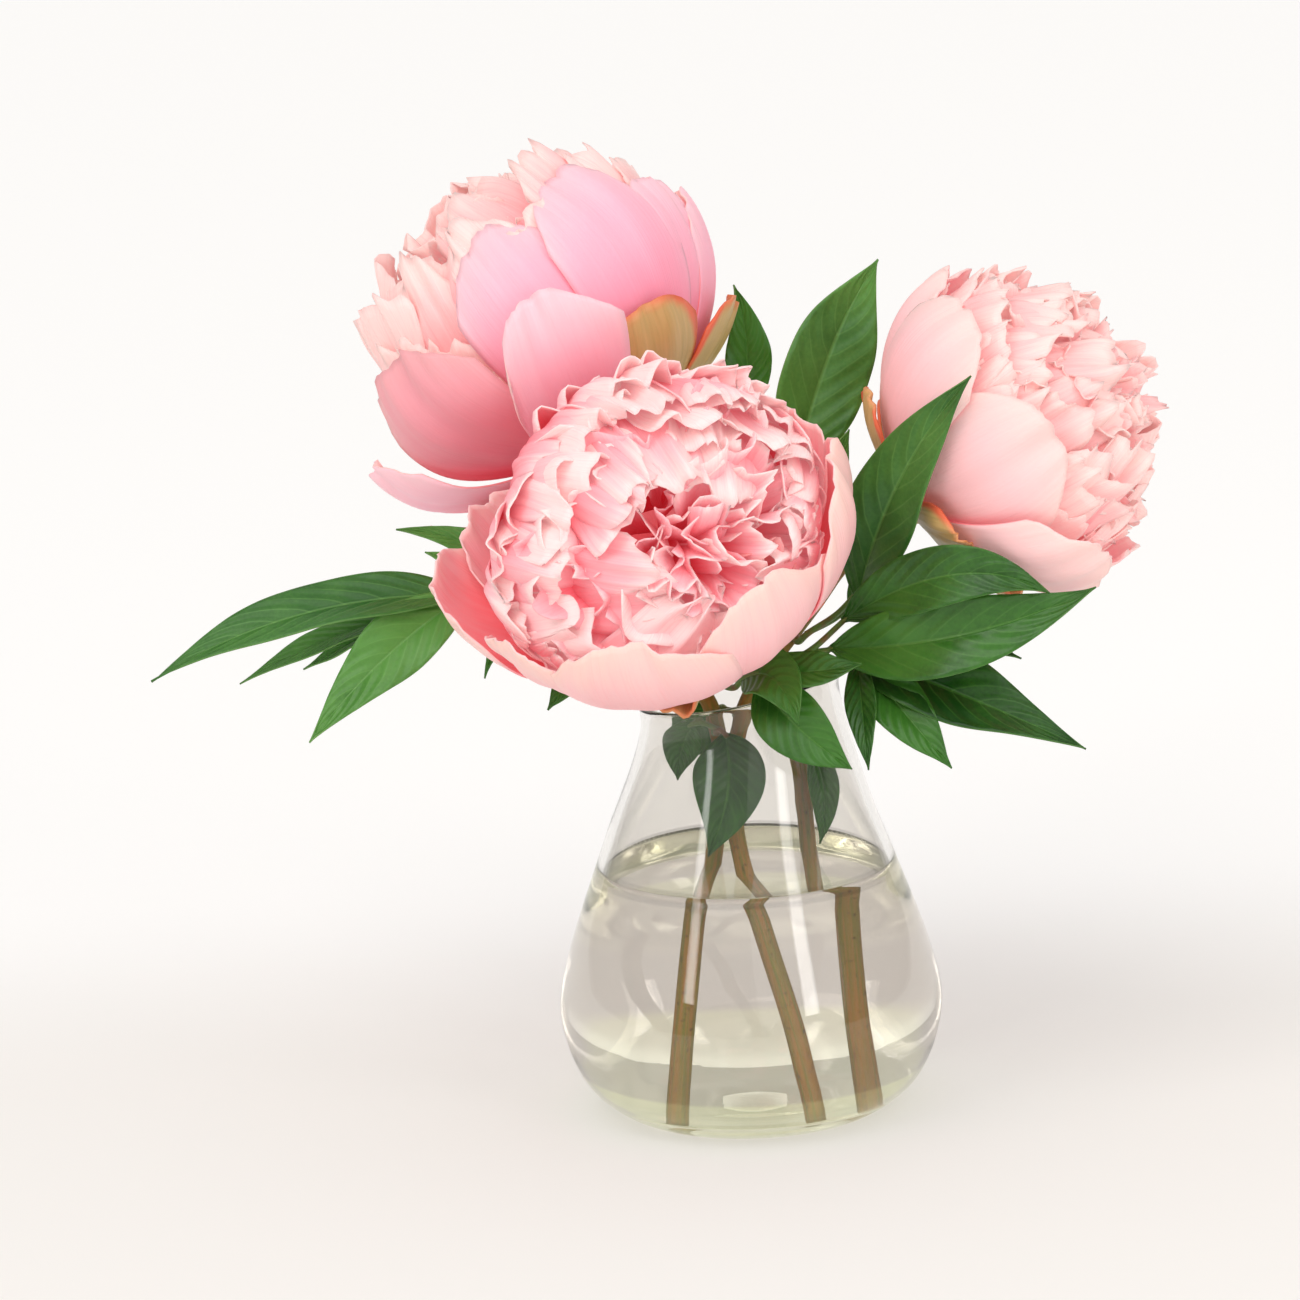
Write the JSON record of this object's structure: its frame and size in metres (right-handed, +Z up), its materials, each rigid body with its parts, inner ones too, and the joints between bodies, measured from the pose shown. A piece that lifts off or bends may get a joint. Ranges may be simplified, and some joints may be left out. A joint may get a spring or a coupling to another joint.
{
  "type": "peonies in a vase",
  "caption": "Pink double peonies on woody stems with glossy compound leaves, standing in water in a clear conical glass vase with a slanted mouth",
  "frame": {"origin": "centre of the vase's flat foot, on the surface that it stands on", "axes": "+Z up along the vase's axis; -Y towards the arrangement's front, where the lowest bloom faces; +X along the widest spread of the leaves"},
  "size_m": [0.2924, 0.2012, 0.2758],
  "materials": {
    "vase_glass": "polished",
    "water": "gloss",
    "stem": "satin",
    "sepal": "satin",
    "petal_rose": "satin",
    "petal_coral": "satin",
    "petal_pale": "satin",
    "leaf_light": "satin",
    "leaf_dark": "satin"
  },
  "bodies": {
    "root": {"vase": "vase_glass", "water": "water", "left_peony_stem": "stem", "left_peony_calyx": "sepal", "left_peony_bloom": "petal_rose", "front_peony_stem": "stem", "front_peony_calyx": "sepal", "front_peony_bloom": "petal_coral", "right_peony_stem": "stem", "right_peony_calyx": "sepal", "right_peony_bloom": "petal_pale", "left_leaf_spray": "leaf_light", "low_left_leaf_spray": "leaf_dark", "rear_leaf_spray": "leaf_light", "tall_leaf_spray": "leaf_light", "right_leaf_spray": "leaf_dark", "low_right_leaf_spray": "leaf_dark", "mouth_leaf_spray": "leaf_dark", "neck_leaf_spray": "leaf_dark", "neck_back_leaf": "leaf_dark", "stem_leaf": "leaf_dark", "back_leaf_spray": "leaf_dark"}
  },
  "joints": []
}
